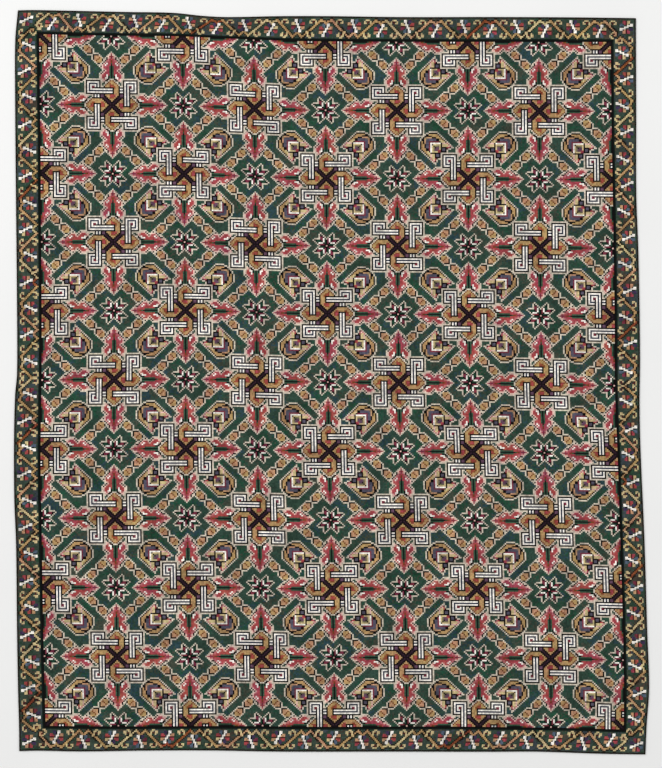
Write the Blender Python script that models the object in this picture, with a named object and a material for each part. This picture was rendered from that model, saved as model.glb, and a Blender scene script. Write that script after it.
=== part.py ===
# An embroidered bedspread: one heavy cloth, covered with wool stitches all over, lying flat.
# Its four sides wander as hand-worked cloth does, and a narrow turned hem runs all the way round.
# X runs across the cloth, Y along it, and Z = 0 is the surface that it lies on.

import bpy
import bmesh
from mathutils import Vector

MM = 0.001

# Thickness of the stitched cloth, and of the hem where the cloth is turned over
CLOTH_THICKNESS = 3.0 * MM
HEM_THICKNESS = 3.8 * MM
HEM_WIDTH = 10.0 * MM
CORNER_ROUNDING = 13.0 * MM

# The four corners on straight lines through them, X and Y in metres
TOP_LEFT = Vector((-0.925, 1.097))
TOP_RIGHT = Vector((0.897, 1.074))
BOTTOM_RIGHT = Vector((0.925, -1.097))
BOTTOM_LEFT = Vector((-0.921, -1.087))

# How far each side stands out (+) or draws in (-) from the straight line between its corners.
# Columns: share of the side's length from its first corner, and the distance in millimetres.
TOP_BOW = ((0.0, 0.0), (0.03, 1.5), (0.18, -0.8), (0.25, -1.5), (0.30, -9.5), (0.34, -12.0),
           (0.42, -7.5), (0.50, -5.5), (0.62, -5.5), (0.77, -2.0), (0.90, 0.0), (1.0, 0.0))
RIGHT_BOW = ((0.0, 0.0), (0.14, -3.0), (0.24, -5.5), (0.32, -1.5), (0.46, -0.5), (0.52, -3.8),
             (0.58, -3.0), (0.71, 5.5), (0.83, 10.0), (0.91, 13.5), (0.96, 5.0), (1.0, 0.0))
BOTTOM_BOW = ((0.0, 0.0), (0.07, -1.5), (0.17, -6.5), (0.25, -5.5), (0.40, -4.5), (0.58, -2.7),
              (0.70, -5.0), (0.80, -3.5), (0.90, 0.0), (0.97, -1.5), (1.0, 0.0))
LEFT_BOW = ((0.0, 0.0), (0.03, 0.5), (0.08, 3.2), (0.16, 6.0), (0.28, 8.5), (0.34, 13.5),
            (0.42, 14.0), (0.48, 10.5), (0.51, 4.7), (0.61, 4.5), (0.75, 7.0), (0.90, 9.0),
            (0.96, 8.0), (1.0, 0.0))

# The hem seen in section. Columns: distance in from the outline, and height, in millimetres.
HEM_SECTION = ((2.2, 0.0), (0.6, 0.6), (0.0, 1.9), (0.6, 3.2), (2.4, 3.8),
               (HEM_WIDTH / MM - 2.5, HEM_THICKNESS / MM), (HEM_WIDTH / MM, CLOTH_THICKNESS / MM))

STEPS_PER_SIDE = 22
STEPS_PER_CORNER = 4


def remove_all_objects():
    for old in list(bpy.data.objects):
        bpy.data.objects.remove(old, do_unlink=True)


def bow_at(table, share):
    """Reads a side's bow on one smooth curve through the rows of its table."""
    last = len(table) - 1
    row = max(i for i in range(last) if table[i][0] <= share)

    def slope(i):
        before = table[max(i - 1, 0)]
        after = table[min(i + 1, last)]
        return (after[1] - before[1]) / (after[0] - before[0])

    (start, bow_0), (end, bow_1) = table[row], table[row + 1]
    span = end - start
    t = (share - start) / span
    rise = (3.0 - 2.0 * t) * t * t
    curve = bow_0 * (1.0 - rise) + bow_1 * rise
    curve += slope(row) * span * t * (1.0 - t) ** 2
    curve -= slope(row + 1) * span * t * t * (1.0 - t)
    return curve * MM


def side_point(corner_a, corner_b, table, share):
    """A point on the side from corner_a to corner_b, going clockwise seen from above."""
    along = corner_b - corner_a
    outward = Vector((-along.y, along.x)).normalized()
    return corner_a + along * share + outward * bow_at(table, share)


def outline():
    """The cloth's outline, clockwise from the top left corner, with softly rounded corners."""
    corners = (TOP_LEFT, TOP_RIGHT, BOTTOM_RIGHT, BOTTOM_LEFT)
    tables = (TOP_BOW, RIGHT_BOW, BOTTOM_BOW, LEFT_BOW)
    points = []
    for i in range(4):
        here, ahead, after = corners[i], corners[(i + 1) % 4], corners[(i + 2) % 4]
        length = (ahead - here).length
        cut = CORNER_ROUNDING / length
        for step in range(STEPS_PER_SIDE + 1):
            share = cut + (1.0 - 2.0 * cut) * step / STEPS_PER_SIDE
            points.append(side_point(here, ahead, tables[i], share))
        next_cut = CORNER_ROUNDING / (after - ahead).length
        turn_in = points[-1]
        turn_out = side_point(ahead, after, tables[(i + 1) % 4], next_cut)
        for step in range(1, STEPS_PER_CORNER):
            t = step / STEPS_PER_CORNER
            points.append(turn_in * (1.0 - t) ** 2 + ahead * 2.0 * t * (1.0 - t) + turn_out * t * t)
    return points


def centred(points):
    """Moves the outline so that its box is centred on the origin."""
    low = Vector((min(p.x for p in points), min(p.y for p in points)))
    high = Vector((max(p.x for p in points), max(p.y for p in points)))
    middle = (low + high) / 2.0
    return [p - middle for p in points]


def inset(points, distance):
    """The same loop of points moved in from the outline, square to the edge."""
    moved = []
    for i, point in enumerate(points):
        along = points[(i + 1) % len(points)] - points[i - 1]
        inward = Vector((along.y, -along.x)).normalized()
        moved.append(point + inward * distance)
    return moved


def add_bedspread(material):
    edge = centred(outline())
    shape = bmesh.new()
    rings = []
    for distance, height in HEM_SECTION:
        rings.append([shape.verts.new((p.x, p.y, height * MM)) for p in inset(edge, distance * MM)])
    count = len(edge)
    for lower, upper in zip(rings, rings[1:]):
        for i in range(count):
            j = (i + 1) % count
            shape.faces.new((lower[j], lower[i], upper[i], upper[j]))
    shape.faces.new(rings[0])
    shape.faces.new(list(reversed(rings[-1])))
    bmesh.ops.recalc_face_normals(shape, faces=shape.faces)

    mesh = bpy.data.meshes.new("bedspread")
    shape.to_mesh(mesh)
    shape.free()
    mesh.materials.append(material)
    cloth = bpy.data.objects.new("bedspread", mesh)
    bpy.context.collection.objects.link(cloth)
    mesh.shade_smooth()
    mesh.set_sharp_from_angle(angle=0.6)
    return cloth


def wool_material():
    material = bpy.data.materials.new("green_wool_stitching")
    material.use_nodes = True
    shader = material.node_tree.nodes["Principled BSDF"]
    shader.inputs["Base Color"].default_value = (0.028, 0.091, 0.061, 1.0)
    shader.inputs["Roughness"].default_value = 0.9
    shader.inputs["Metallic"].default_value = 0.0
    return material


def main():
    remove_all_objects()
    add_bedspread(wool_material())


main()
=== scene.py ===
import bpy
import numpy as np
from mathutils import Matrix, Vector


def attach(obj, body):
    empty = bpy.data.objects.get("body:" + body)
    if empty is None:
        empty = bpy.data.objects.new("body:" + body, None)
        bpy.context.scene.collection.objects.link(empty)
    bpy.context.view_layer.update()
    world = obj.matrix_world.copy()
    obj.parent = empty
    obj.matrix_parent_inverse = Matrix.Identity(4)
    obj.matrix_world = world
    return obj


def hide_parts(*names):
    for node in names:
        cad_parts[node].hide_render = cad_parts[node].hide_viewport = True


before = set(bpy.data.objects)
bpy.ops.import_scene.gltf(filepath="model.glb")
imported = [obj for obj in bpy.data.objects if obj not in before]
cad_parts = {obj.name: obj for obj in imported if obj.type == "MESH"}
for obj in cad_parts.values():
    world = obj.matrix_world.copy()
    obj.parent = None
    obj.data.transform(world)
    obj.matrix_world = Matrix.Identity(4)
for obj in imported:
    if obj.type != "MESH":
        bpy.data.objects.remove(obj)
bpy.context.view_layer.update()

MM = 0.001

# The cloth's outline, as the frame has it: corners in metres, and each side's bow in millimetres
TOP_LEFT = Vector((-0.925, 1.097))
TOP_RIGHT = Vector((0.897, 1.074))
BOTTOM_RIGHT = Vector((0.925, -1.097))
BOTTOM_LEFT = Vector((-0.921, -1.087))
TOP_BOW = ((0.0, 0.0), (0.03, 1.5), (0.18, -0.8), (0.25, -1.5), (0.30, -9.5), (0.34, -12.0),
           (0.42, -7.5), (0.50, -5.5), (0.62, -5.5), (0.77, -2.0), (0.90, 0.0), (1.0, 0.0))
RIGHT_BOW = ((0.0, 0.0), (0.14, -3.0), (0.24, -5.5), (0.32, -1.5), (0.46, -0.5), (0.52, -3.8),
             (0.58, -3.0), (0.71, 5.5), (0.83, 10.0), (0.91, 13.5), (0.96, 5.0), (1.0, 0.0))
BOTTOM_BOW = ((0.0, 0.0), (0.07, -1.5), (0.17, -6.5), (0.25, -5.5), (0.40, -4.5), (0.58, -2.7),
              (0.70, -5.0), (0.80, -3.5), (0.90, 0.0), (0.97, -1.5), (1.0, 0.0))
LEFT_BOW = ((0.0, 0.0), (0.03, 0.5), (0.08, 3.2), (0.16, 6.0), (0.28, 8.5), (0.34, 13.5),
            (0.42, 14.0), (0.48, 10.5), (0.51, 4.7), (0.61, 4.5), (0.75, 7.0), (0.90, 9.0),
            (0.96, 8.0), (1.0, 0.0))

# The dark line round the field, in the same way, on the cloth centred in its box
LINE_TOP_LEFT = Vector((-0.8644, 1.0285))
LINE_TOP_RIGHT = Vector((0.8254, 1.0055))
LINE_BOTTOM_RIGHT = Vector((0.8640, -1.0262))
LINE_BOTTOM_LEFT = Vector((-0.8452, -1.0152))
LINE_TOP_BOW = ((0.0, 0.0), (0.12, -1.6), (0.24, -0.6), (0.31, -4.0), (0.38, -7.5), (0.45, -10.0),
                (0.55, -9.2), (0.66, -7.6), (0.80, -4.4), (0.92, -2.0), (1.0, 0.0))
LINE_RIGHT_BOW = ((0.0, 0.0), (0.12, -2.0), (0.27, -2.6), (0.40, -3.8), (0.51, -6.7), (0.60, -2.8),
                  (0.70, -0.4), (0.80, 2.6), (0.92, 3.4), (1.0, 0.0))
LINE_BOTTOM_BOW = ((0.0, 0.0), (0.09, -3.4), (0.20, -4.8), (0.30, -5.6), (0.42, -3.9), (0.54, -2.3),
                   (0.68, -3.0), (0.80, -0.8), (0.90, 0.4), (1.0, 0.0))
LINE_LEFT_BOW = ((0.0, 0.0), (0.14, 4.3), (0.27, 6.0), (0.38, 7.6), (0.46, 4.4), (0.55, 0.8),
                 (0.72, -0.3), (0.85, -1.0), (1.0, 0.0))

OUTLINE_CORNERS = (TOP_LEFT, TOP_RIGHT, BOTTOM_RIGHT, BOTTOM_LEFT)
OUTLINE_BOWS = (TOP_BOW, RIGHT_BOW, BOTTOM_BOW, LEFT_BOW)
LINE_CORNERS = (LINE_TOP_LEFT, LINE_TOP_RIGHT, LINE_BOTTOM_RIGHT, LINE_BOTTOM_LEFT)
LINE_BOWS = (LINE_TOP_BOW, LINE_RIGHT_BOW, LINE_BOTTOM_BOW, LINE_LEFT_BOW)

# How many steps a curved side is read in
SIDE_STEPS = 400

# Sizes of the chart, in stitches. One stitch wide, the dark line runs between field and border.
REPEAT = 96
REPEATS_ACROSS = 4
REPEATS_ALONG = 5
BORDER = 16
FIELD_ACROSS = REPEAT * REPEATS_ACROSS + 1
FIELD_ALONG = REPEAT * REPEATS_ALONG + 1
ACROSS = FIELD_ACROSS + 2 * (BORDER + 1)
ALONG = FIELD_ALONG + 2 * (BORDER + 1)
LINE_MIDDLE = BORDER + 0.5

# Soft pulls that the working has left in the field. Columns: where across and up the field, how
# far to the right and up in millimetres, and how far the pull spreads across and up. They fade out
# at the dark line, the later the higher PULL_HOLD is.
PULLS = (
    (0.35, 0.55, 0.0, 6.8, 0.50, 0.25),
    (0.80, 0.63, -6.2, 0.0, 0.30, 0.20),
    (0.20, 0.30, 2.7, 0.0, 0.25, 0.25),
)
PULL_HOLD = 6

# Heights of a stitch's edges and of its middle, from the surface that the cloth lies on, and how
# full the least and the fullest stitches stand
STITCH_FOOT = 2.6 * MM
STITCH_CROWN = 3.3 * MM
LEAST_FULL, MOST_FULL = 0.85, 1.1
TRIANGLES_PER_STITCH = 4

# The hem lifts the outer stitches in full, and the lift fades out over as many again
HEM_RISE = 0.6 * MM
HEM_STITCHES = 2.0

# The canvas in section. Columns: distance in from the outline, and height, in millimetres.
CANVAS_SECTION = (
    (16.0, 0.5),
    (14.0, 0.1),
    (2.2, 0.1),
    (0.7, 0.7),
    (0.2, 1.8),
    (0.5, 2.7),
    (1.6, 2.9),
    (9.0, 2.4),
    (12.0, 2.1),
)

# Which way is inwards from the canvas's edge is read over this many stitches each way
EDGE_STRETCH = 3

# The stitched face is cut into strips as wide as the cloth. Each strip's map is folded in two, its
# left half over its right half, so that both get a good size on it.
STRIPS = 6
MAP_MARGIN = 0.004
SEED = 11

# The photo's frame, and how much of the world one of its pixels covers
PHOTO_WIDTH, PHOTO_HEIGHT = 662, 768
CLOTH_MIDDLE_PX = (331.5, 382.25)
METRES_PER_PX = 2.95 * MM
CAMERA_LENS = 85.0
CAMERA_SENSOR = 36.0
CAMERA_REACH = 100.0

# The light in a white studio: the room's own, and each lamp's name, place in metres and watts
ROOM_LIGHT = 0.64
LAMP_SIZE = 2.5
LAMPS = (
    ("left_light", (-4.0, 3.0, 4.5), 150.0),
    ("right_light", (4.5, 2.0, 4.5), 70.0),
)
FLOOR_SIZE = 40.0

# The wools, one letter each, as sRGB
THREADS = {
    "e": "#2e4439",
    "h": "#3e4439",
    "i": "#204735",
    "j": "#2a4147",
    "W": "#c6bbaa",
    "w": "#ece6dd",
    "K": "#080504",
    "N": "#212b3e",
    "g": "#ac8a5e",
    "y": "#c2ae82",
    "b": "#6c3a1a",
    "O": "#85482b",
    "R": "#9c4246",
    "p": "#b0696a",
    "P": "#d5b0a4",
    "C": "#74303f",
    "M": "#614558",
    "U": "#321f2a",
    "V": "#170b13",
    "G": "#354f3d",
    "D": "#0a1712",
    "E": "#1a3c2c",
    "o": "#6e674e",
    "s": "#524e5d",
    "T": "#b48a69",
    "S": "#505e70",
    "v": "#3c304e",
    "d": "#451616",
    "f": "#36443a",
    "k": "#433d34",
    "l": "#284131",
    "m": "#394145",
    # a: the dark stitches round the vine, and also the painted shade on the cloth's outermost row
    "a": "#1c1811",
}
CODES = {letter: number for number, letter in enumerate(THREADS)}
BARE = -1

# The ground is worked with several lots of wool: first the main one, then the others with the
# share of the ground that each takes
FIELD_GROUND = ("e", (("h", 0.20), ("i", 0.16), ("j", 0.14)))
BORDER_GROUND = ("f", (("k", 0.26), ("l", 0.18), ("m", 0.16)))
GROUND_PATCH = 7
GROUND_SCATTER = 0.55

# The vine's wool changes along its way, one letter a stretch
VINE_WOOLS = "gTgyTgOgyg"

# The wool up close: a strand's width from crown to side in stitches, how high the strand beneath
# stands against the one over it, how often the lot and the fibres change in a stitch, how much the
# fibres add to the relief, and the relief's depth and strength
STRAND_WIDTH = 0.46
UNDER_STRAND = 0.72
LOT_SCALE = 0.07
FIBRE_SCALE = 6.0
FIBRE_RELIEF = 0.35
WOOL_RELIEF = 0.5 * MM
WOOL_RELIEF_STRENGTH = 0.8

# Darkest and lightest tone, from the holes to the crowns (painted shade in the holes and a painted
# highlight on the crowns), from fibre to fibre, from stitch to stitch and from lot to lot, and the
# lots' ends of hue. A soft noise hardly leaves NOISE_SPAN.
STRAND_SHADE_AND_HIGHLIGHT = (0.5, 1.22)
FIBRE_TONES = (0.8, 1.2)
STITCH_TONES = (0.74, 1.26)
LOT_TONES = (0.8, 1.2)
LOT_HUES = (0.485, 0.515)
NOISE_SPAN = (0.3, 0.7)

# The canvas up close: how densely its ribs and blotches come, and how deep they are
RIB_SCALE = 74.0
RIB_WANDER = 0.6
BLOTCH_SCALE = 180.0
CANVAS_RELIEF = 0.4 * MM

# A quarter of the knot: from its middle column to the right, its top row first, down to the row
# just over its middle. The other quarters are this one turned.
KNOT = (
    "WW.....WWWWWWWWWWWW",
    "gbW....WKKKKKKKKKKW",
    "ggbW...WKwwwwwwwwKW",
    "gggbW..WKwNNNNNNwKW",
    "OOggbW.WKwNwwwwNwKW",
    "ROOggKWWKwNwCCwNwKW",
    "KKOggKKKKwNwdCwNwKW",
    "wKgggKwwKwNwKwwNwKW",
    "NKgggKNNKwNwKNNNwKW",
    "wKgggKwwKwNwKwwwwKW",
    "KKgggKKKKwNwKKKKKKW",
    "RORggKMMKwNwKWWWWWW",
    "RROgKVMMKwNwKW.....",
    "OOgKVUVKKwNwKKW....",
    "ggKVUVKgKwNwKgbW...",
    "gKVUVKggKwNwKggbW..",
    "KVUVKgggKwNwKgggbW.",
    "VUVKgOROKwNwKOROgbW",
)

# A quarter of the star, in the same way
STAR = (
    "....W.....",
    "...WKW....",
    "..WEKW....",
    ".WKEEW....",
    "WCwEEWWWW.",
    "KCwEKCCKKW",
    "KCwKCCCKW.",
    "KCKwwwKW..",
    "KKEEEEW...",
)

# Half of a palmette from its middle column outwards, its tip first
PALMETTE = (
    "W",
    "pW",
    "CPW",
    "CRPW",
    "CpPKW",
    "RRpKW",
    "bRppKW",
    "bRRpPKW",
    "GRRwRPKW",
    "DRRpwRPW",
    "DGRRpRPKW",
    "DGRRRRPW",
    "DGRRpPW",
    "DGRRPKW",
    "DGRRRPKW",
    "DGRRRRPKW",
    "DGRwRRRPW",
    "DGKwRRRPW",
    "DGKwwRRPW",
    "WWKKPpPKW",
    "..WKKPPW",
    "...WWKW",
)
PALMETTE_TIP = 37

# One acorn, its cap to the upper left, drawn round the stitch at its middle. It stands near the
# star's middle one way and far from it the other way, and a light link joins two of them.
ACORN = (
    "..WWW....",
    ".KKKKW...",
    "WKggggW..",
    "WKgggbTW.",
    "WKggbTTKW",
    ".WgbTTTKW",
    "..WTTTTKW",
    "...WKKKK.",
    "....WWW..",
)
ACORN_NEAR, ACORN_FAR = 9, 16
ACORN_LINK = 12

# Half of a tulip from its diagonal outwards, its round end first
TULIP = (
    ".......WWWWWW",
    "....WWKKKKKKW",
    "..WKKggggggKW",
    ".KKKKKgggggKW",
    "oTTTTKKKgggKW",
    "ossssssKKggKW",
    "ssssssKKyygKW",
    "CCCCCCCKyyyKW",
    "wwwwwwwKPPPpW",
    "KyyyyyKyyyypW",
    "KoooyKyyyyPpW",
    "KMMyKKKKRRKWW",
    "MMyKssKKWW",
    "RRKssKW",
    "CKKKKW",
    ".PPW",
)
TULIP_START = 15

# One side of the border, seen as the top one. Places are in stitches: along the side from the dark
# line's corner or from a flower's middle, and up from the dark line.
INNER_FLOWER, OUTER_FLOWER, CORNER_FLOWER = 7, 10, 10
FIRST_FLOWER = 8
MIDDLE_GAP = 23
FLOWERS_ON_SHORT_SIDE = 21
FLOWERS_ON_HALF_LONG_SIDE = 13

# How far the flowers have crept clockwise by the middle of the top, left, bottom and right side
SIDE_CREEP = (0.0, 1.7, 0.0, 0.0)

# How wide the border's lines are worked, and how far round a line its stitches are looked for
VINE_WIDTH, SHADE_WIDTH, CURL_WIDTH, EYE_WIDTH = 1.24, 3.1, 1.1, 1.5
LINE_REACH = 2

# The vine's turn at a flower: over an inner one, two peaks with a valley between them, and under an
# outer one, two feet with a ridge between them
PEAK, PEAK_HEIGHT, VALLEY_HEIGHT = 3.4, 14.0, 11.6
FOOT, FOOT_HEIGHT, RIDGE_HEIGHT = 3.0, 2.2, 5.2
OUTER_CURL = ((6.4, 11.4), (7.0, 13.2), (8.4, 14.3), (9.9, 14.1), (10.9, 12.9), (10.4, 11.7))
OUTER_EYE = ((8.6, 12.7), (9.2, 12.7))
INNER_CURL = ((6.4, 5.8), (6.6, 3.9), (7.8, 2.4), (9.4, 2.2), (10.7, 3.4), (10.3, 5.0))
INNER_EYE = ((8.6, 4.2), (9.1, 4.2))
MIDDLE_CURL = ((0.0, 6.0), (0.3, 4.2), (0.7, 2.8), (1.9, 1.9), (3.4, 2.2), (4.2, 3.4), (3.3, 4.6))
MIDDLE_EYE = ((2.0, 3.9), (2.4, 3.9))

# Where two sides meet: the end of this side's vine, and of the next one's, from the dark line's
# corner, each with its hook and the dark eye in it
CORNER_VINES = (
    ((3.2, 5.6), (3.1, 4.4), (2.2, 3.6)),
    ((14.0, -4.6), (7.3, 1.9), (6.2, 2.5), (4.9, 1.4), (3.9, 0.4)),
)
CORNER_CURLS = (
    ((1.8, 6.4), (0.4, 5.6), (-0.9, 4.2), (-0.8, 2.9), (0.6, 2.0)),
    ((7.2, 0.6), (6.5, -1.0), (4.6, -1.6), (2.8, -0.5), (2.5, 1.4)),
)
CORNER_EYES = (((1.6, 4.7), (2.0, 5.0)), ((5.6, 0.3), (6.0, 0.6)))

# A flower's width, and the stitches of two neighbouring petals, from its middle
FLOWER_SIZE = 11
STEEP_PETAL = ((1, 2), (1, 3), (2, 3), (1, 4), (2, 4))
SHALLOW_PETAL = ((2, 1), (3, 1), (3, 2), (4, 1), (4, 2))


def linear(hex_colour):
    """An sRGB hex colour as linear numbers, with full alpha."""
    levels = [int(hex_colour[i:i + 2], 16) / 255.0 for i in (1, 3, 5)]
    return tuple(c / 12.92 if c <= 0.04045 else ((c + 0.055) / 1.055) ** 2.4 for c in levels) + (1.0,)


def deselect_all():
    for thing in bpy.context.selected_objects:
        thing.select_set(False)


# The chart

def empty_chart(across, along):
    """A chart with no stitches yet: row 0 is its lowest, column 0 its left one."""
    return np.full((along, across), BARE, dtype=np.int8)


def put(chart, c, r, letter):
    """Sets the stitch c columns right of and r rows above the chart's middle."""
    chart[chart.shape[0] // 2 + r, chart.shape[1] // 2 + c] = CODES[letter]


def lay_over(chart, layer):
    worked = layer != BARE
    chart[worked] = layer[worked]


def with_turns(layer):
    """The layer, with its three quarter turns worked over it."""
    whole = layer.copy()
    for quarter in (1, 2, 3):
        lay_over(whole, np.rot90(layer, quarter))
    return whole


def from_quarter(rows, middle):
    """A whole motif from its upper right quarter and its middle stitch."""
    reach = len(rows)
    layer = empty_chart(2 * reach + 1, 2 * reach + 1)
    for n, row in enumerate(rows):
        for c, letter in enumerate(row):
            if letter != ".":
                put(layer, c, reach - n, letter)
    whole = with_turns(layer)
    put(whole, 0, 0, middle)
    return whole


def palmettes():
    """The four palmettes round a knot, their stems towards it."""
    layer = empty_chart(2 * PALMETTE_TIP + 1, 2 * PALMETTE_TIP + 1)
    for n, row in enumerate(PALMETTE):
        for c, letter in enumerate(row):
            if letter != ".":
                put(layer, c, PALMETTE_TIP - n, letter)
                put(layer, -c, PALMETTE_TIP - n, letter)
    return with_turns(layer)


def acorns():
    """The eight acorns round a star, two and two joined by a light link."""
    middle = len(ACORN) // 2
    size = 2 * (ACORN_FAR + middle) + 1
    layer = empty_chart(size, size)
    for n, row in enumerate(ACORN):
        for m, letter in enumerate(row):
            if letter != ".":
                across, up = m - middle, middle - n
                put(layer, ACORN_NEAR + across, ACORN_FAR + up, letter)
                put(layer, ACORN_FAR + up, ACORN_NEAR + across, letter)
    for place in (ACORN_LINK, ACORN_LINK + 1):
        put(layer, place, place, "W")
    return with_turns(layer)


def tulips():
    """The four tulips on the diagonals of a knot, their round ends towards it."""
    size = 2 * (TULIP_START + len(TULIP) + len(TULIP[0])) + 1
    layer = empty_chart(size, size)
    for n, row in enumerate(TULIP):
        start = TULIP_START + n
        for k, letter in enumerate(row):
            if letter != ".":
                put(layer, start + k, start, letter)
                put(layer, start, start + k, letter)
    return with_turns(layer)


def stamp(repeat, motif, c, r):
    """Works a motif round a stitch of the repeat, running over its edges as the repeat does."""
    rows = (np.arange(motif.shape[0]) - motif.shape[0] // 2 + r) % REPEAT
    columns = (np.arange(motif.shape[1]) - motif.shape[1] // 2 + c) % REPEAT
    window = repeat[np.ix_(rows, columns)]
    lay_over(window, motif)
    repeat[np.ix_(rows, columns)] = window


def field_repeat():
    """One repeat of the field: a knot at its corner, and its mirror image in the middle."""
    half = REPEAT // 2
    repeat = empty_chart(REPEAT, REPEAT)
    stamp(repeat, tulips(), half, half)
    for c, r in ((half, 0), (0, half)):
        stamp(repeat, acorns(), c, r)
        stamp(repeat, from_quarter(STAR, "P"), c, r)
    for c, r in ((0, 0), (half, half)):
        stamp(repeat, palmettes(), c, r)
    knot = from_quarter(KNOT, "V")
    stamp(repeat, knot, half, half)
    stamp(repeat, np.fliplr(knot), 0, 0)
    return repeat


def flower(number, mirrored):
    """A flower of eight petals, white ones opposite each other, its other wools by its number."""
    red = ("R", "C")[number % 2]
    cool = ("S", "v")[(number // 2) % 2]
    cool_below = ("v", "S")[(number // 3) % 2]
    tan = ("T", "y")[(number // 2 + 1) % 2]
    layer = empty_chart(FLOWER_SIZE, FLOWER_SIZE)
    for petal, up, across, letter in (
        (STEEP_PETAL, 1, 1, "w"),
        (STEEP_PETAL, -1, -1, "w"),
        (SHALLOW_PETAL, 1, 1, tan),
        (SHALLOW_PETAL, -1, -1, "T"),
        (SHALLOW_PETAL, -1, 1, red),
        (SHALLOW_PETAL, 1, -1, "R"),
        (STEEP_PETAL, -1, 1, cool),
        (STEEP_PETAL, 1, -1, cool_below),
    ):
        for c, r in petal:
            put(layer, across * c, up * r, letter)

    # Dark stitches part the petals, and a light band joins the white ones over the middle
    for k in (-4, -3, -2, 2, 3, 4):
        put(layer, k, 0, "d")
    for k in (-3, -2, 2, 3):
        put(layer, 0, k, "D")
    for c, r in ((0, 0), (0, 1), (0, -1), (1, 1), (-1, -1)):
        put(layer, c, r, "w")
    return np.fliplr(layer) if mirrored else layer


def work_motif(chart, motif, c, r):
    """Works a motif round a stitch of the chart."""
    rows, columns = motif.shape
    low, left = r - rows // 2, c - columns // 2
    window = chart[low:low + rows, left:left + columns]
    lay_over(window, motif[:window.shape[0], :window.shape[1]])


def work_line(chart, points, letter, width):
    """Works a line through the points, about width stitches wide."""
    for (x0, y0), (x1, y1) in zip(points, points[1:]):
        left, right = max(int(min(x0, x1)) - LINE_REACH, 0), int(max(x0, x1)) + LINE_REACH + 1
        low, high = max(int(min(y0, y1)) - LINE_REACH, 0), int(max(y0, y1)) + LINE_REACH + 1
        window = chart[low:high, left:right]
        if window.size == 0:
            continue
        r, c = np.mgrid[low:low + window.shape[0], left:left + window.shape[1]]
        length_squared = (x1 - x0) ** 2 + (y1 - y0) ** 2
        share = np.clip(((c - x0) * (x1 - x0) + (r - y0) * (y1 - y0)) / length_squared, 0, 1)
        away = np.hypot(c - x0 - share * (x1 - x0), r - y0 - share * (y1 - y0))
        window[away <= width / 2] = CODES[letter]


def flower_places(span, side):
    """Where a side's flowers stand, from the dark line's corner, and which are inner ones."""
    if side % 2 == 1:
        steps = 2 * (FLOWERS_ON_HALF_LONG_SIDE - 1)
        pitch = (span - MIDDLE_GAP - 2 * FIRST_FLOWER) / steps
        half = [FIRST_FLOWER + pitch * i for i in range(FLOWERS_ON_HALF_LONG_SIDE)]
        places = half + [span - s for s in reversed(half)]
        inner = [i % 2 == 0 for i in range(FLOWERS_ON_HALF_LONG_SIDE)]
        inner += list(reversed(inner))
    else:
        pitch = (span - 2 * FIRST_FLOWER) / (FLOWERS_ON_SHORT_SIDE - 1)
        places = [FIRST_FLOWER + pitch * i for i in range(FLOWERS_ON_SHORT_SIDE)]
        inner = [i % 2 == 0 for i in range(FLOWERS_ON_SHORT_SIDE)]
    crept = [s + SIDE_CREEP[side] * np.sin(np.pi * s / span) for s in places]
    return [(int(round(s)), is_inner) for s, is_inner in zip(crept, inner)]


def vine_stretches(places):
    """A side's vine as short lines: the turn at each flower, and the way on to the next flower."""
    stretches = []
    for s, is_inner in places:
        if is_inner:
            across, end, middle = PEAK, PEAK_HEIGHT, VALLEY_HEIGHT
        else:
            across, end, middle = FOOT, FOOT_HEIGHT, RIDGE_HEIGHT
        stretches.append(((s - across, end), (s, middle), (s + across, end)))
    for (s, is_inner), (after, after_inner) in zip(places, places[1:]):
        if is_inner and after_inner:
            halfway = ((s + after) / 2.0, MIDDLE_CURL[0][1])
            stretches.append(((s + PEAK, PEAK_HEIGHT), halfway))
            stretches.append((halfway, (after - PEAK, PEAK_HEIGHT)))
        elif is_inner:
            stretches.append(((s + PEAK, PEAK_HEIGHT), (after - FOOT, FOOT_HEIGHT)))
        else:
            stretches.append(((s + FOOT, FOOT_HEIGHT), (after - PEAK, PEAK_HEIGHT)))
    return stretches


def side_curls(places):
    """A side's curls, each with the dark eye in it."""
    pairs = []
    for s, is_inner in places:
        pairs.append((s, OUTER_CURL, OUTER_EYE) if is_inner else (s, INNER_CURL, INNER_EYE))
    for (s, is_inner), (after, after_inner) in zip(places, places[1:]):
        if is_inner and after_inner:
            pairs.append(((s + after) / 2.0, MIDDLE_CURL, MIDDLE_EYE))
    return [
        ([(s + across * x, y) for x, y in curl], [(s + across * x, y) for x, y in eye])
        for s, curl, eye in pairs
        for across in (-1, 1)
    ]


def work_side(chart, line_row, side):
    """Works one side of the border on a view of the chart that has that side on top. The sides count
    from 0: the top, the left, the bottom and the right one."""
    span = chart.shape[1] - 1 - 2 * BORDER
    places = flower_places(span, side)
    vine, curls = vine_stretches(places), side_curls(places)
    last_peak = (places[-1][0] + PEAK, PEAK_HEIGHT)
    from_corner = [[(span + x, y) for x, y in line] for line in CORNER_VINES]
    vine.append([last_peak] + from_corner[0])
    vine.append(from_corner[1])
    for curl, eye in zip(CORNER_CURLS, CORNER_EYES):
        curls.append(([(span + x, y) for x, y in curl], [(span + x, y) for x, y in eye]))

    def work(points, letter, width):
        work_line(chart, [(BORDER + x, line_row + y) for x, y in points], letter, width)

    for stretch in vine:
        work(stretch, "a", SHADE_WIDTH)
    for curl, eye in curls:
        work(eye, "d", EYE_WIDTH)
        work(curl, "y", CURL_WIDTH)
    for i, stretch in enumerate(vine):
        work(stretch, VINE_WOOLS[i % len(VINE_WOOLS)], VINE_WIDTH)
    for i, (s, is_inner) in enumerate(places):
        height = INNER_FLOWER if is_inner else OUTER_FLOWER
        work_motif(chart, flower(3 * side + i, not is_inner), BORDER + s, line_row + height)
    blossom = np.rot90(flower(side, True), 1 - side % 2)
    work_motif(chart, blossom, BORDER + span + CORNER_FLOWER, line_row + CORNER_FLOWER)


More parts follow.
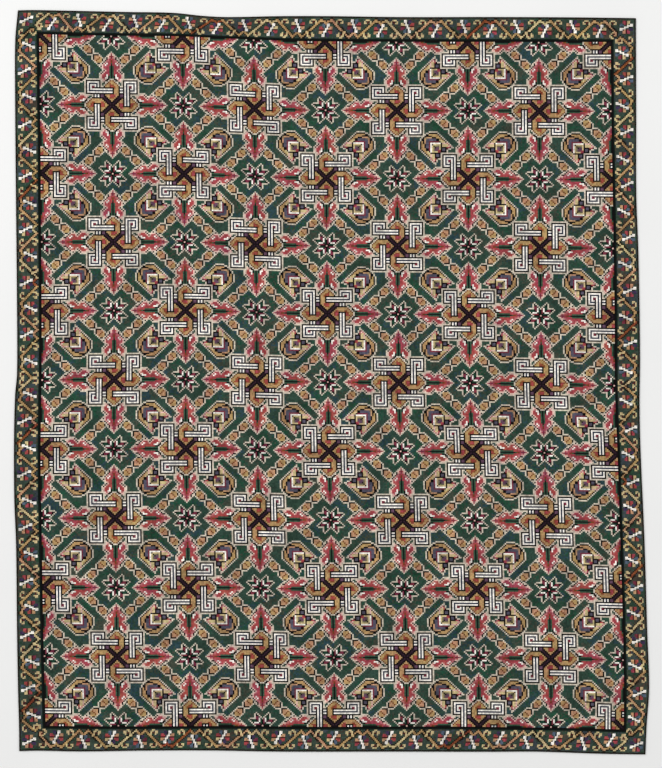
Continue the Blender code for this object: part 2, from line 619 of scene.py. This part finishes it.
def soft_patches(shape, rng):
    """Random numbers from 0 to 1 that drift softly from stitch to stitch."""
    coarse = rng.random((shape[0] // GROUND_PATCH + 3, shape[1] // GROUND_PATCH + 3))
    rows, columns = (np.arange(n) / GROUND_PATCH for n in shape)
    near_row, near_column = rows.astype(int), columns.astype(int)
    share_up, share_right = (rows - near_row)[:, None], (columns - near_column)[None, :]
    low, high = coarse[near_row], coarse[near_row + 1]
    low = low[:, near_column] * (1 - share_right) + low[:, near_column + 1] * share_right
    high = high[:, near_column] * (1 - share_right) + high[:, near_column + 1] * share_right
    return low * (1 - share_up) + high * share_up


def fill_ground(chart, ground, rng):
    """Works the stitches still bare with the ground's wools, in soft patches that run together."""
    main, others = ground
    bare = chart == BARE
    chart[bare] = CODES[main]
    for letter, share in others:
        patches = soft_patches(chart.shape, rng) + GROUND_SCATTER * rng.random(chart.shape)
        chosen = bare & (patches > np.quantile(patches, 1.0 - share))
        chart[chosen] = CODES[letter]


def whole_chart(rng):
    """Every stitch of the bedspread as the number of its thread, its lowest row first."""
    chart = empty_chart(ACROSS, ALONG)
    for side in range(4):
        view = np.rot90(chart, side)
        work_side(view, view.shape[0] - 1 - BORDER, side)
    fill_ground(chart, BORDER_GROUND, rng)
    rows = np.arange(FIELD_ALONG) % REPEAT
    columns = np.arange(FIELD_ACROSS) % REPEAT
    field = field_repeat()[np.ix_(rows, columns)]
    fill_ground(field, FIELD_GROUND, rng)
    chart[BORDER - 1:ALONG - BORDER + 1, BORDER - 1:ACROSS - BORDER + 1] = CODES["D"]
    chart[BORDER:ALONG - BORDER, BORDER:ACROSS - BORDER] = CODES["K"]
    chart[BORDER + 1:BORDER + 1 + FIELD_ALONG, BORDER + 1:BORDER + 1 + FIELD_ACROSS] = field
    # The outermost row of stitches takes the near-black a: painted shade along the cloth's edge, where
    # the hem turns under
    edge = np.ones(chart.shape, dtype=bool)
    edge[1:-1, 1:-1] = False
    chart[edge] = CODES["a"]
    return chart


# The cloth's shape

def bow_at(table, share):
    """Reads a side's bow on one smooth curve through the rows of its table."""
    last = len(table) - 1
    row = max(i for i in range(last) if table[i][0] <= share)

    def slope(i):
        before = table[max(i - 1, 0)]
        after = table[min(i + 1, last)]
        return (after[1] - before[1]) / (after[0] - before[0])

    (start, bow_0), (end, bow_1) = table[row], table[row + 1]
    span = end - start
    t = (share - start) / span
    rise = (3.0 - 2.0 * t) * t * t
    curve = bow_0 * (1.0 - rise) + bow_1 * rise
    curve += slope(row) * span * t * (1.0 - t) ** 2
    curve -= slope(row + 1) * span * t * t * (1.0 - t)
    return curve * MM


def side_points(corner_a, corner_b, table, shares):
    """Points on the side from corner_a to corner_b, going clockwise seen from above."""
    along = corner_b - corner_a
    outward = Vector((-along.y, along.x)).normalized()
    return np.array([corner_a + along * s + outward * bow_at(table, s) for s in shares])


def box_middle():
    """The middle of the box of the outline, which the frame has at its origin."""
    shares = np.linspace(0.0, 1.0, SIDE_STEPS + 1)
    points = np.concatenate([
        side_points(OUTLINE_CORNERS[i], OUTLINE_CORNERS[(i + 1) % 4], OUTLINE_BOWS[i], shares)
        for i in range(4)
    ])
    return (points.min(0) + points.max(0)) / 2.0


def coons_patch(corners, tables, u, v):
    """Points on the sheet that is stretched between four curved sides, u to the right and v up."""
    top_left, top_right, bottom_right, bottom_left = corners
    shares = np.linspace(0.0, 1.0, SIDE_STEPS + 1)

    def along_side(i, share):
        points = side_points(corners[i], corners[(i + 1) % 4], tables[i], shares)
        return np.stack([np.interp(share, shares, points[:, axis]) for axis in (0, 1)], axis=-1)

    top, right = along_side(0, u), along_side(1, 1.0 - v)
    bottom, left = along_side(2, 1.0 - u), along_side(3, v)
    u, v = u[..., None], v[..., None]
    straight = (
        (1 - u) * (1 - v) * np.array(bottom_left)
        + u * (1 - v) * np.array(bottom_right)
        + u * v * np.array(top_right)
        + (1 - u) * v * np.array(top_left)
    )
    return (1 - v) * bottom + v * top + (1 - u) * left + u * right - straight


def pulled(u, v):
    """How far the working has pulled the stitches at places on the field, in metres."""
    held = (1.0 - (2.0 * u - 1.0) ** PULL_HOLD) * (1.0 - (2.0 * v - 1.0) ** PULL_HOLD)
    moved = np.zeros(u.shape + (2,))
    for middle_u, middle_v, to_right, upwards, spread_u, spread_v in PULLS:
        near = np.exp(-((u - middle_u) / spread_u) ** 2 - ((v - middle_v) / spread_v) ** 2)
        moved += (held * near)[..., None] * np.array([to_right, upwards]) * MM
    return moved


def cloth_points(columns, rows):
    """Where places on the chart, given in stitches, lie on the flat cloth, in metres."""
    line = LINE_MIDDLE
    inner_c = np.clip(columns, line, ACROSS - line)
    inner_r = np.clip(rows, line, ALONG - line)
    outline = coons_patch(OUTLINE_CORNERS, OUTLINE_BOWS, columns / ACROSS, rows / ALONG)
    outline_inside = coons_patch(OUTLINE_CORNERS, OUTLINE_BOWS, inner_c / ACROSS, inner_r / ALONG)
    u, v = (inner_c - line) / (ACROSS - 2 * line), (inner_r - line) / (ALONG - 2 * line)
    field = coons_patch(LINE_CORNERS, LINE_BOWS, u, v) + pulled(u, v) + box_middle()
    near_line = (1.0 - np.abs(columns - inner_c) / line) * (1.0 - np.abs(rows - inner_r) / line)
    return outline - box_middle() + near_line[..., None] * (field - outline_inside)


def hem_rise(columns, rows):
    """How much the turned hem lifts the stitches at places near the cloth's edge."""
    inwards = np.minimum(np.minimum(columns, ACROSS - columns), np.minimum(rows, ALONG - rows))
    return HEM_RISE * np.clip(1.0 - (inwards - HEM_STITCHES) / HEM_STITCHES, 0.0, 1.0)


def mesh_from(name, points, corners, faces):
    """A mesh of faces with the same number of corners each, from arrays."""
    mesh = bpy.data.meshes.new(name)
    mesh.vertices.add(len(points))
    mesh.vertices.foreach_set("co", points.astype(np.float32).ravel())
    mesh.loops.add(corners.size)
    mesh.loops.foreach_set("vertex_index", corners.astype(np.int32).ravel())
    mesh.polygons.add(faces)
    size = corners.size // faces
    mesh.polygons.foreach_set("loop_start", np.arange(0, corners.size, size, dtype=np.int32))
    mesh.update(calc_edges=True)
    thing = bpy.data.objects.new(name, mesh)
    bpy.context.scene.collection.objects.link(thing)
    return thing


def folded_map(columns, rows, first_row, last_row):
    """A strip's map from 0 to 1: the left half of its columns above, the right half below."""
    half = (ACROSS + 1) // 2
    face_columns = columns.reshape(-1, 3)
    right_half = np.repeat(face_columns.min(axis=1) >= half, face_columns.shape[1])
    u = np.where(right_half, columns - half, columns) / half
    v = (rows - first_row) / (last_row - first_row)
    u = MAP_MARGIN + (1.0 - 2.0 * MAP_MARGIN) * u
    v = MAP_MARGIN + (0.5 - 2.0 * MAP_MARGIN) * v + np.where(right_half, 0.0, 0.5)
    return np.stack([u, v], axis=-1)


def stitched_strip(name, chart, first_row, last_row, rng):
    """A strip of the stitched face: four triangles a stitch, rising from its edges to its middle."""
    wide, high = ACROSS, last_row - first_row
    c, r = np.meshgrid(np.arange(wide + 1.0), np.arange(first_row, last_row + 1.0))
    corner_points = np.concatenate(
        [cloth_points(c, r), (STITCH_FOOT + hem_rise(c, r))[..., None]], axis=-1)
    middle_c, middle_r = c[:-1, :-1] + 0.5, r[:-1, :-1] + 0.5
    fullness = rng.uniform(LEAST_FULL, MOST_FULL, middle_c.shape)
    crown = STITCH_FOOT + (STITCH_CROWN - STITCH_FOOT) * fullness + hem_rise(middle_c, middle_r)
    middle_points = np.concatenate([cloth_points(middle_c, middle_r), crown[..., None]], axis=-1)
    points = np.concatenate([corner_points.reshape(-1, 3), middle_points.reshape(-1, 3)])

    row_start = np.arange(high)[:, None] * (wide + 1)
    low_left = (row_start + np.arange(wide)[None, :]).ravel()
    low_right, up_left, up_right = low_left + 1, low_left + wide + 1, low_left + wide + 2
    middle = (wide + 1) * (high + 1) + np.arange(wide * high)
    corners = np.stack([
        low_left, low_right, middle,
        low_right, up_right, middle,
        up_right, up_left, middle,
        up_left, low_left, middle,
    ], axis=-1)
    strip = mesh_from(name, points, corners, TRIANGLES_PER_STITCH * wide * high)
    mesh = strip.data

    places = np.concatenate([
        np.stack([c.ravel(), r.ravel()], axis=-1),
        np.stack([middle_c.ravel(), middle_r.ravel()], axis=-1),
    ])[corners.ravel()]
    folded = folded_map(places[:, 0], places[:, 1], first_row, last_row)
    baked = mesh.uv_layers.new(name="OFBake")
    baked.data.foreach_set("uv", folded.astype(np.float32).ravel())
    stitches = mesh.uv_layers.new(name="stitches")
    stitches.data.foreach_set("uv", places.astype(np.float32).ravel())

    palette = np.array([linear(colour) for colour in THREADS.values()], dtype=np.float32)
    codes = chart[first_row:last_row].ravel()
    thread = mesh.color_attributes.new(name="thread", type="FLOAT_COLOR", domain="CORNER")
    colours = np.repeat(palette[codes], 3 * TRIANGLES_PER_STITCH, axis=0)
    thread.data.foreach_set("color", colours.ravel())
    return strip


def cloth_outline():
    """The outline of the cloth, clockwise from its top left corner, stitch by stitch."""
    c, r = np.arange(0.0, ACROSS), np.arange(0.0, ALONG)
    columns = np.concatenate([c, np.full(ALONG, float(ACROSS)), ACROSS - c, np.zeros(ALONG)])
    rows = np.concatenate([np.full(ACROSS, float(ALONG)), ALONG - r, np.zeros(ACROSS), r])
    return cloth_points(columns, rows)


def ground_cloth():
    """The canvas, with its hem turned to the back, as one closed thin sheet under the stitches."""
    edge = cloth_outline()
    ahead, behind = np.roll(edge, -EDGE_STRETCH, axis=0), np.roll(edge, EDGE_STRETCH, axis=0)
    along = ahead - behind
    inward = np.stack([along[:, 1], -along[:, 0]], axis=-1)
    inward /= np.linalg.norm(inward, axis=1)[:, None]
    count = len(edge)
    rings = [
        np.concatenate([edge + inward * inset * MM, np.full((count, 1), height * MM)], axis=1)
        for inset, height in CANVAS_SECTION
    ]
    mesh = bpy.data.meshes.new("ground_cloth")
    faces = [tuple(range(count))]
    for k in range(len(rings) - 1):
        for i in range(count):
            j = (i + 1) % count
            faces.append((k * count + j, k * count + i, (k + 1) * count + i, (k + 1) * count + j))
    faces.append(tuple(reversed(range((len(rings) - 1) * count, len(rings) * count))))
    mesh.from_pydata(np.concatenate(rings).tolist(), [], faces)
    mesh.update()
    cloth = bpy.data.objects.new("ground_cloth", mesh)
    bpy.context.scene.collection.objects.link(cloth)
    return cloth


# Materials

def add_node(tree, kind, inputs, **settings):
    """Adds a node: its settings by name, and its sockets as values or as other nodes' outputs."""
    new = tree.nodes.new(kind)
    for name, value in settings.items():
        setattr(new, name, value)
    for socket, value in inputs.items():
        if isinstance(value, bpy.types.NodeSocket):
            tree.links.new(value, new.inputs[socket])
        else:
            new.inputs[socket].default_value = value
    return new


def new_material(name):
    """A material with only its shader and output, its node tree, and the shader to build on."""
    material = bpy.data.materials.new(name)
    material.use_nodes = True
    return material, material.node_tree, material.node_tree.nodes["Principled BSDF"]


def math_node(tree, operation, first, second):
    """The result of one sum on two values or outputs."""
    return add_node(tree, "ShaderNodeMath", {0: first, 1: second}, operation=operation).outputs[0]


def scaled(tree, value, low, high, from_low=0.0, from_high=1.0):
    """The value, read from one range on to another."""
    inputs = {
        "Value": value,
        "From Min": from_low,
        "From Max": from_high,
        "To Min": low,
        "To Max": high,
    }
    return add_node(tree, "ShaderNodeMapRange", inputs).outputs[0]


def strand_height(tree, slant):
    """A round strand along one diagonal of each stitch: 1 on its crown, 0 beside it."""
    away = math_node(tree, "ABSOLUTE", slant, 0.0)
    away = math_node(tree, "DIVIDE", away, STRAND_WIDTH)
    away = math_node(tree, "POWER", away, 2.0)
    height = add_node(tree, "ShaderNodeMath", {0: 1.0, 1: away}, operation="SUBTRACT", use_clamp=True)
    return height.outputs[0]


def wool_cross_stitch():
    """Two-ply crewel wool worked in crosses: matt and a little hairy, one strand lying over the
    other, painted shade in the holes between them and a painted highlight on their crowns, and the
    dye uneven from one length of wool to the next."""
    material, tree, shader = new_material("wool_cross_stitch")
    thread = add_node(tree, "ShaderNodeAttribute", {}, attribute_name="thread",
                      attribute_type="GEOMETRY").outputs["Color"]
    place = add_node(tree, "ShaderNodeUVMap", {}, uv_map="stitches").outputs["UV"]

    # The two strands, from each place's own position in its stitch
    within = add_node(tree, "ShaderNodeVectorMath", {0: place}, operation="FRACTION").outputs[0]
    within = add_node(tree, "ShaderNodeSeparateXYZ", {0: within})
    rising = math_node(tree, "SUBTRACT", within.outputs["X"], within.outputs["Y"])
    falling = math_node(tree, "ADD", within.outputs["X"], within.outputs["Y"])
    falling = math_node(tree, "SUBTRACT", falling, 1.0)
    over = strand_height(tree, rising)
    under = math_node(tree, "MULTIPLY", strand_height(tree, falling), UNDER_STRAND)
    strands = math_node(tree, "MAXIMUM", over, under)

    # Fibres, each stitch's own tone, and the slow change from one length of wool to the next
    stitch = add_node(tree, "ShaderNodeVectorMath", {0: place}, operation="FLOOR").outputs[0]
    own = add_node(tree, "ShaderNodeTexWhiteNoise", {"Vector": stitch}, noise_dimensions="2D")
    lots = add_node(tree, "ShaderNodeTexNoise", {"Vector": place, "Scale": LOT_SCALE, "Detail": 3.0},
                    noise_dimensions="2D")
    fibres = add_node(tree, "ShaderNodeTexNoise",
                      {"Vector": place, "Scale": FIBRE_SCALE, "Detail": 2.0},
                      noise_dimensions="2D").outputs["Fac"]
    # The strands' height also sets the colour: painted shade in the holes and a painted highlight on
    # the crowns
    tone = scaled(tree, strands, *STRAND_SHADE_AND_HIGHLIGHT)
    for more in (
        scaled(tree, fibres, *FIBRE_TONES),
        scaled(tree, own.outputs["Value"], *STITCH_TONES),
        scaled(tree, lots.outputs["Fac"], *LOT_TONES, *NOISE_SPAN),
    ):
        tone = math_node(tree, "MULTIPLY", tone, more)
    hue = scaled(tree, lots.outputs["Color"], *LOT_HUES, *NOISE_SPAN)
    colour = add_node(tree, "ShaderNodeHueSaturation", {"Color": thread, "Hue": hue, "Value": tone})
    tree.links.new(colour.outputs["Color"], shader.inputs["Base Color"])

    relief = math_node(tree, "ADD", strands, scaled(tree, fibres, 0.0, FIBRE_RELIEF))
    bump = add_node(tree, "ShaderNodeBump",
                    {"Height": relief, "Strength": WOOL_RELIEF_STRENGTH, "Distance": WOOL_RELIEF})
    tree.links.new(bump.outputs["Normal"], shader.inputs["Normal"])
    shader.inputs["Roughness"].default_value = 0.95
    shader.inputs["Specular IOR Level"].default_value = 0.08
    shader.inputs["Sheen Weight"].default_value = 0.04
    shader.inputs["Sheen Roughness"].default_value = 0.6
    return material


def coarse_canvas():
    """Plain-woven cotton canvas with the wool's small back stitches over it: dull, dark and ribbed."""
    material, tree, shader = new_material("coarse_canvas")
    place = add_node(tree, "ShaderNodeTexCoord", {}).outputs["Object"]
    ribs = add_node(tree, "ShaderNodeTexWave",
                    {"Vector": place, "Scale": RIB_SCALE, "Distortion": RIB_WANDER},
                    wave_type="BANDS", bands_direction="Y").outputs["Fac"]
    blotches = add_node(tree, "ShaderNodeTexNoise",
                        {"Vector": place, "Scale": BLOTCH_SCALE, "Detail": 3.0}).outputs["Fac"]
    weave = math_node(tree, "MULTIPLY", ribs, blotches)
    colour = add_node(tree, "ShaderNodeMix",
                      {"Factor": weave, "A": linear("#1d2f27"), "B": linear("#5c6a58")},
                      data_type="RGBA")
    tree.links.new(colour.outputs["Result"], shader.inputs["Base Color"])
    bump = add_node(tree, "ShaderNodeBump", {"Height": weave, "Distance": CANVAS_RELIEF})
    tree.links.new(bump.outputs["Normal"], shader.inputs["Normal"])
    shader.inputs["Roughness"].default_value = 0.95
    return material


def white_backdrop():
    """Matt white paper or paint: even, with the faintest mottling."""
    material, tree, shader = new_material("white_backdrop")
    place = add_node(tree, "ShaderNodeTexCoord", {}).outputs["Object"]
    mottle = add_node(tree, "ShaderNodeTexNoise", {"Vector": place, "Scale": 3.0, "Detail": 2.0})
    colour = add_node(tree, "ShaderNodeMix",
                      {"Factor": mottle.outputs["Fac"], "A": linear("#f2f2f1"), "B": linear("#f7f7f6")},
                      data_type="RGBA")
    tree.links.new(colour.outputs["Result"], shader.inputs["Base Color"])
    shader.inputs["Roughness"].default_value = 0.9
    return material


# The scene

def make_bedspread():
    wool, canvas = wool_cross_stitch(), coarse_canvas()
    rng = np.random.default_rng(SEED)
    chart = whole_chart(rng)
    rows = [round(ALONG * i / STRIPS) for i in range(STRIPS + 1)]
    strips = []
    for i in range(STRIPS):
        strip = stitched_strip(f"stitching_{i + 1}", chart, rows[i], rows[i + 1], rng)
        strip.data.materials.append(wool)
        strips.append(strip)
    cloth = ground_cloth()
    cloth.data.materials.append(canvas)
    for piece in [cloth] + strips:
        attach(piece, "root")
        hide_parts("bedspread")


def make_floor():
    deselect_all()
    bpy.ops.mesh.primitive_plane_add(size=FLOOR_SIZE, location=(0.0, 0.0, 0.0))
    floor = bpy.context.active_object
    floor.name = "floor"
    floor.data.materials.append(white_backdrop())


def make_light():
    world = bpy.data.worlds.new("studio")
    world.use_nodes = True
    background = world.node_tree.nodes["Background"]
    background.inputs["Color"].default_value = (1.0, 1.0, 1.0, 1.0)
    background.inputs["Strength"].default_value = ROOM_LIGHT
    bpy.context.scene.world = world

    for name, place, watts in LAMPS:
        lamp = bpy.data.lights.new(name, "AREA")
        lamp.shape = "SQUARE"
        lamp.size = LAMP_SIZE
        lamp.energy = watts
        holder = bpy.data.objects.new(name, lamp)
        holder.location = place
        holder.rotation_euler = (-Vector(place)).to_track_quat("-Z", "Y").to_euler()
        bpy.context.scene.collection.objects.link(holder)


def make_camera():
    """Straight above the cloth, which stands a little off the middle of the photo."""
    covered = PHOTO_HEIGHT * METRES_PER_PX
    data = bpy.data.cameras.new("camera")
    data.lens = CAMERA_LENS
    data.sensor_width = CAMERA_SENSOR
    data.clip_end = CAMERA_REACH
    camera = bpy.data.objects.new("camera", data)
    away_x = (PHOTO_WIDTH / 2.0 - CLOTH_MIDDLE_PX[0]) * METRES_PER_PX
    away_y = (CLOTH_MIDDLE_PX[1] - PHOTO_HEIGHT / 2.0) * METRES_PER_PX
    camera.location = (away_x, away_y, covered * CAMERA_LENS / CAMERA_SENSOR)
    bpy.context.scene.collection.objects.link(camera)
    bpy.context.scene.camera = camera


make_camera()
make_bedspread()
make_floor()
make_light()
bpy.context.scene.view_settings.view_transform = "Standard"
